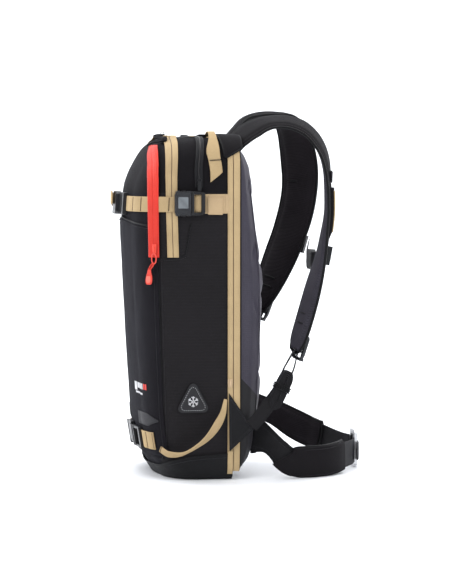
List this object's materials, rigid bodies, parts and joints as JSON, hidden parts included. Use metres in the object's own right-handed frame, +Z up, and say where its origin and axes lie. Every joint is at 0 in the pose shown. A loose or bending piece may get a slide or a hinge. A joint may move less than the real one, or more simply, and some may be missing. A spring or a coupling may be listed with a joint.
{
  "type": "avalanche airbag backpack",
  "caption": "Upright ski-touring airbag backpack with hinged back panel, webbing harness, hip belt, side-release buckles and zips.",
  "frame": {"origin": "centre of the flat base that the pack stands on, on its centre plane", "axes": "+Z up, +X towards the wearer (back panel and harness), +Y towards the wearer's left"},
  "size_m": [0.3736, 0.3182, 0.54],
  "materials": {
    "black_fabric": "matt charcoal packcloth",
    "black_webbing": "woven black webbing",
    "tan_webbing": "woven tan webbing",
    "red_zip": "coated red zip tape",
    "red_plastic": "moulded red",
    "tan_plastic": "moulded tan",
    "black_plastic": "moulded acetal",
    "back_foam": "moulded grey foam with brushed face",
    "frame_sheet": "plain sheet",
    "badge_rubber": "moulded matt",
    "bladder_fabric": "coated nylon, folded",
    "aluminium": "satin",
    "cylinder_metal": "dark anodised"
  },
  "bodies": {
    "pack": {"main_bag": "black_fabric", "front_panel": "black_fabric", "base_boot": "black_fabric", "tool_zip_tape": "red_zip", "airbag_zip_tape": "tan_webbing", "top_zip_tape": "black_webbing", "back_zip_outer_tape": "tan_webbing", "upper_strap_right": "tan_webbing", "upper_strap_left": "tan_webbing", "lower_strap_right": "tan_webbing", "lower_strap_left": "tan_webbing", "rear_strap_right": "tan_webbing", "rear_strap_left": "tan_webbing", "side_buckle_socket_right": "black_plastic", "side_buckle_socket_left": "black_plastic", "front_buckle_socket_upper": "black_plastic", "front_buckle_socket_lower": "black_plastic", "ski_loop_right": "tan_webbing", "ski_loop_left": "tan_webbing", "haul_handle": "tan_webbing", "side_badge": "badge_rubber", "airbag_bladder": "bladder_fabric", "gas_cylinder": "cylinder_metal", "inflator_valve": "aluminium", "trigger_cable": "black_plastic"},
    "back_door": {"back_panel": "back_foam", "frame_sheet": "frame_sheet", "back_zip_inner_tape": "tan_webbing", "strap_anchor_right": "black_webbing", "strap_anchor_left": "black_webbing", "lower_webbing_right": "black_webbing", "lower_webbing_left": "black_webbing"},
    "harness": {"shoulder_strap_right": "black_fabric", "shoulder_strap_left": "black_fabric", "ladder_lock_right": "black_plastic", "ladder_lock_left": "black_plastic", "trigger_sleeve": "black_fabric"},
    "chest_strap": {"chest_clip_right": "black_plastic", "chest_webbing": "black_webbing", "chest_buckle_socket": "black_plastic"},
    "chest_release": {"chest_buckle_plug": "black_plastic", "chest_webbing_left": "black_webbing", "chest_clip_left": "black_plastic"},
    "trigger": {"trigger_handle": "red_plastic"},
    "valve_pin": {"valve_pin": "cylinder_metal"},
    "hip_belt": {"hip_wing_right": "black_fabric", "hip_wing_left": "black_fabric", "hip_webbing_right": "black_webbing", "hip_webbing_left": "black_webbing", "hip_buckle_frame": "aluminium"},
    "hip_hook": {"hip_buckle_hook": "black_plastic"},
    "tool_slider": {"tool_slider": "red_plastic"},
    "tool_pull": {"tool_pull": "red_plastic"},
    "top_slider": {"top_slider": "black_plastic"},
    "top_pull": {"top_pull": "black_plastic"},
    "back_slider": {"back_slider": "tan_plastic"},
    "side_plug_right": {"side_buckle_plug_right": "black_plastic"},
    "side_plug_left": {"side_buckle_plug_left": "black_plastic"},
    "front_plug_upper": {"front_buckle_plug_upper": "black_plastic"},
    "front_plug_lower": {"front_buckle_plug_lower": "black_plastic"}
  },
  "joints": [
    {"name": "back_door_hinge", "type": "hinge", "parent": "pack", "child": "back_door", "pos_m": [0.0468, 0, 0.004], "axis": [0, 1, 0], "range_deg": [0, 40]},
    {"name": "harness_swing", "type": "hinge", "parent": "back_door", "child": "harness", "pos_m": [0.0772, 0, 0.5068], "axis": [0, 1, 0], "range_deg": [-12, 0], "deforming": ["lower_webbing_right", "lower_webbing_left"]},
    {"name": "chest_strap_slide", "type": "slide", "parent": "harness", "child": "chest_strap", "axis": [0.2516, 0, 0.9678], "range_m": [-0.006, 0.006]},
    {"name": "chest_buckle_release", "type": "slide", "parent": "chest_strap", "child": "chest_release", "axis": [0, 1, 0], "range_m": [0, 0.02]},
    {"name": "trigger_pull", "type": "slide", "parent": "harness", "child": "trigger", "axis": [0.1023, 0.1198, 0.9875], "range_m": [0, 0.03]},
    {"name": "valve_pin_travel", "type": "slide", "parent": "pack", "child": "valve_pin", "axis": [0, 0, 1], "range_m": [0, 0.008]},
    {"name": "hip_belt_swing", "type": "hinge", "parent": "back_door", "child": "hip_belt", "pos_m": [0.096, 0, 0.113], "axis": [0, 1, 0], "range_deg": [-30, 0]},
    {"name": "hip_buckle_release", "type": "slide", "parent": "hip_belt", "child": "hip_hook", "axis": [1, 0, 0], "range_m": [0, 0.03]},
    {"name": "tool_zip_slide", "type": "slide", "parent": "pack", "child": "tool_slider", "axis": [-0.0158, 0.0155, 0.9998], "range_m": [0, 0.07]},
    {"name": "tool_pull_swing", "type": "hinge", "parent": "tool_slider", "child": "tool_pull", "pos_m": [-0.0708, -0.13115, 0.3305], "axis": [0.671, -0.7411, 0.0221], "range_deg": [-60, 0]},
    {"name": "top_zip_slide", "type": "slide", "parent": "pack", "child": "top_slider", "axis": [-0.0143, 0, 0.9999], "range_m": [0, 0.018]},
    {"name": "top_pull_swing", "type": "hinge", "parent": "top_slider", "child": "top_pull", "pos_m": [-0.00479, -0.138, 0.44], "axis": [0.9999, 0, 0.0143], "range_deg": [-90, 0]},
    {"name": "back_zip_slide", "type": "slide", "parent": "pack", "child": "back_slider", "axis": [0, 0, 1], "range_m": [0, 0.25]},
    {"name": "side_buckle_release_right", "type": "slide", "parent": "pack", "child": "side_plug_right", "axis": [1, 0, 0], "range_m": [0, 0.022]},
    {"name": "side_buckle_release_left", "type": "slide", "parent": "pack", "child": "side_plug_left", "axis": [1, 0, 0], "range_m": [0, 0.022]},
    {"name": "front_buckle_release_upper", "type": "slide", "parent": "pack", "child": "front_plug_upper", "axis": [0, 1, 0], "range_m": [0, 0.02]},
    {"name": "front_buckle_release_lower", "type": "slide", "parent": "pack", "child": "front_plug_lower", "axis": [0, 1, 0], "range_m": [0, 0.02]}
  ],
  "couplings": [
    {"joint": "valve_pin_travel", "follows": "trigger_pull", "ratio": 0.2666}
  ]
}
